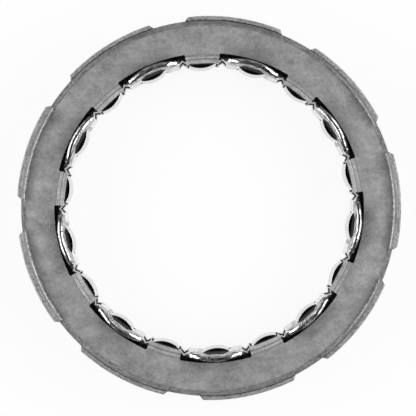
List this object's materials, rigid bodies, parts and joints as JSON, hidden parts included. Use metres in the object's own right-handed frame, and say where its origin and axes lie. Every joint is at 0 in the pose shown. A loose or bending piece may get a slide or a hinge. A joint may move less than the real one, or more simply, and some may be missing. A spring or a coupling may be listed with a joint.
{
  "type": "sprag clutch",
  "caption": "Ring-shaped one-way clutch: formed steel sprags between cages and end plates inside an outer race with drive lugs, gripping a plain shaft one way round.",
  "frame": {"origin": "centre of the rear face, on the clutch axis", "axes": "+Z along the clutch axis, out of the side with the polished clips; +Y through the middle of one tab"},
  "size_m": [0.1087, 0.109, 0.0192],
  "materials": {
    "race_steel": "ground and slightly grainy steel",
    "plate_steel": "satin mottled steel sheet",
    "cage_steel": "black oxide",
    "sprag_steel": "polished faces, dark oxide ends",
    "spring_steel": "bright spring steel",
    "clip_steel": "polished spring steel"
  },
  "bodies": {
    "race": {"outer_race": "race_steel", "front_plate": "plate_steel", "rear_plate": "plate_steel", "outer_cage": "cage_steel"},
    "inner_cage": {"inner_cage": "cage_steel", "ribbon_spring": "spring_steel", "cage_clip_01": "clip_steel", "cage_clip_02": "clip_steel", "cage_clip_03": "clip_steel", "cage_clip_04": "clip_steel", "cage_clip_05": "clip_steel", "cage_clip_06": "clip_steel", "cage_clip_07": "clip_steel", "cage_clip_08": "clip_steel", "cage_clip_09": "clip_steel"},
    "sprag_01": {"sprag_01": "sprag_steel"},
    "sprag_02": {"sprag_02": "sprag_steel"},
    "sprag_03": {"sprag_03": "sprag_steel"},
    "sprag_04": {"sprag_04": "sprag_steel"},
    "sprag_05": {"sprag_05": "sprag_steel"},
    "sprag_06": {"sprag_06": "sprag_steel"},
    "sprag_07": {"sprag_07": "sprag_steel"},
    "sprag_08": {"sprag_08": "sprag_steel"},
    "sprag_09": {"sprag_09": "sprag_steel"},
    "sprag_10": {"sprag_10": "sprag_steel"},
    "sprag_11": {"sprag_11": "sprag_steel"},
    "sprag_12": {"sprag_12": "sprag_steel"},
    "sprag_13": {"sprag_13": "sprag_steel"},
    "sprag_14": {"sprag_14": "sprag_steel"},
    "sprag_15": {"sprag_15": "sprag_steel"},
    "sprag_16": {"sprag_16": "sprag_steel"},
    "sprag_17": {"sprag_17": "sprag_steel"},
    "sprag_18": {"sprag_18": "sprag_steel"}
  },
  "joints": [
    {"name": "inner_cage_turn", "type": "hinge", "parent": "race", "child": "inner_cage", "pos_m": [0, 0, 0.0091], "axis": [0, 0, 1], "range_deg": [0, 0.94], "stiffness_Nm_per_rad": 4},
    {"name": "sprag_01_rock", "type": "hinge", "parent": "race", "child": "sprag_01", "pos_m": [0, 0.0476, 0.0091], "axis": [0, 0, 1], "range_deg": [-10, 0]},
    {"name": "sprag_02_rock", "type": "hinge", "parent": "race", "child": "sprag_02", "pos_m": [-0.01628, 0.04473, 0.0091], "axis": [0, 0, 1], "range_deg": [-10, 0]},
    {"name": "sprag_03_rock", "type": "hinge", "parent": "race", "child": "sprag_03", "pos_m": [-0.0306, 0.03646, 0.0091], "axis": [0, 0, 1], "range_deg": [-10, 0]},
    {"name": "sprag_04_rock", "type": "hinge", "parent": "race", "child": "sprag_04", "pos_m": [-0.04122, 0.0238, 0.0091], "axis": [0, 0, 1], "range_deg": [-10, 0]},
    {"name": "sprag_05_rock", "type": "hinge", "parent": "race", "child": "sprag_05", "pos_m": [-0.04688, 0.00827, 0.0091], "axis": [0, 0, 1], "range_deg": [-10, 0]},
    {"name": "sprag_06_rock", "type": "hinge", "parent": "race", "child": "sprag_06", "pos_m": [-0.04688, -0.00827, 0.0091], "axis": [0, 0, 1], "range_deg": [-10, 0]},
    {"name": "sprag_07_rock", "type": "hinge", "parent": "race", "child": "sprag_07", "pos_m": [-0.04122, -0.0238, 0.0091], "axis": [0, 0, 1], "range_deg": [-10, 0]},
    {"name": "sprag_08_rock", "type": "hinge", "parent": "race", "child": "sprag_08", "pos_m": [-0.0306, -0.03646, 0.0091], "axis": [0, 0, 1], "range_deg": [-10, 0]},
    {"name": "sprag_09_rock", "type": "hinge", "parent": "race", "child": "sprag_09", "pos_m": [-0.01628, -0.04473, 0.0091], "axis": [0, 0, 1], "range_deg": [-10, 0]},
    {"name": "sprag_10_rock", "type": "hinge", "parent": "race", "child": "sprag_10", "pos_m": [0, -0.0476, 0.0091], "axis": [0, 0, 1], "range_deg": [-10, 0]},
    {"name": "sprag_11_rock", "type": "hinge", "parent": "race", "child": "sprag_11", "pos_m": [0.01628, -0.04473, 0.0091], "axis": [0, 0, 1], "range_deg": [-10, 0]},
    {"name": "sprag_12_rock", "type": "hinge", "parent": "race", "child": "sprag_12", "pos_m": [0.0306, -0.03646, 0.0091], "axis": [0, 0, 1], "range_deg": [-10, 0]},
    {"name": "sprag_13_rock", "type": "hinge", "parent": "race", "child": "sprag_13", "pos_m": [0.04122, -0.0238, 0.0091], "axis": [0, 0, 1], "range_deg": [-10, 0]},
    {"name": "sprag_14_rock", "type": "hinge", "parent": "race", "child": "sprag_14", "pos_m": [0.04688, -0.00827, 0.0091], "axis": [0, 0, 1], "range_deg": [-10, 0]},
    {"name": "sprag_15_rock", "type": "hinge", "parent": "race", "child": "sprag_15", "pos_m": [0.04688, 0.00827, 0.0091], "axis": [0, 0, 1], "range_deg": [-10, 0]},
    {"name": "sprag_16_rock", "type": "hinge", "parent": "race", "child": "sprag_16", "pos_m": [0.04122, 0.0238, 0.0091], "axis": [0, 0, 1], "range_deg": [-10, 0]},
    {"name": "sprag_17_rock", "type": "hinge", "parent": "race", "child": "sprag_17", "pos_m": [0.0306, 0.03646, 0.0091], "axis": [0, 0, 1], "range_deg": [-10, 0]},
    {"name": "sprag_18_rock", "type": "hinge", "parent": "race", "child": "sprag_18", "pos_m": [0.01628, 0.04473, 0.0091], "axis": [0, 0, 1], "range_deg": [-10, 0]}
  ],
  "couplings": [
    {"joint": "sprag_01_rock", "follows": "inner_cage_turn", "ratio": -10.61},
    {"joint": "sprag_02_rock", "follows": "inner_cage_turn", "ratio": -10.61},
    {"joint": "sprag_03_rock", "follows": "inner_cage_turn", "ratio": -10.61},
    {"joint": "sprag_04_rock", "follows": "inner_cage_turn", "ratio": -10.61},
    {"joint": "sprag_05_rock", "follows": "inner_cage_turn", "ratio": -10.61},
    {"joint": "sprag_06_rock", "follows": "inner_cage_turn", "ratio": -10.61},
    {"joint": "sprag_07_rock", "follows": "inner_cage_turn", "ratio": -10.61},
    {"joint": "sprag_08_rock", "follows": "inner_cage_turn", "ratio": -10.61},
    {"joint": "sprag_09_rock", "follows": "inner_cage_turn", "ratio": -10.61},
    {"joint": "sprag_10_rock", "follows": "inner_cage_turn", "ratio": -10.61},
    {"joint": "sprag_11_rock", "follows": "inner_cage_turn", "ratio": -10.61},
    {"joint": "sprag_12_rock", "follows": "inner_cage_turn", "ratio": -10.61},
    {"joint": "sprag_13_rock", "follows": "inner_cage_turn", "ratio": -10.61},
    {"joint": "sprag_14_rock", "follows": "inner_cage_turn", "ratio": -10.61},
    {"joint": "sprag_15_rock", "follows": "inner_cage_turn", "ratio": -10.61},
    {"joint": "sprag_16_rock", "follows": "inner_cage_turn", "ratio": -10.61},
    {"joint": "sprag_17_rock", "follows": "inner_cage_turn", "ratio": -10.61},
    {"joint": "sprag_18_rock", "follows": "inner_cage_turn", "ratio": -10.61}
  ]
}
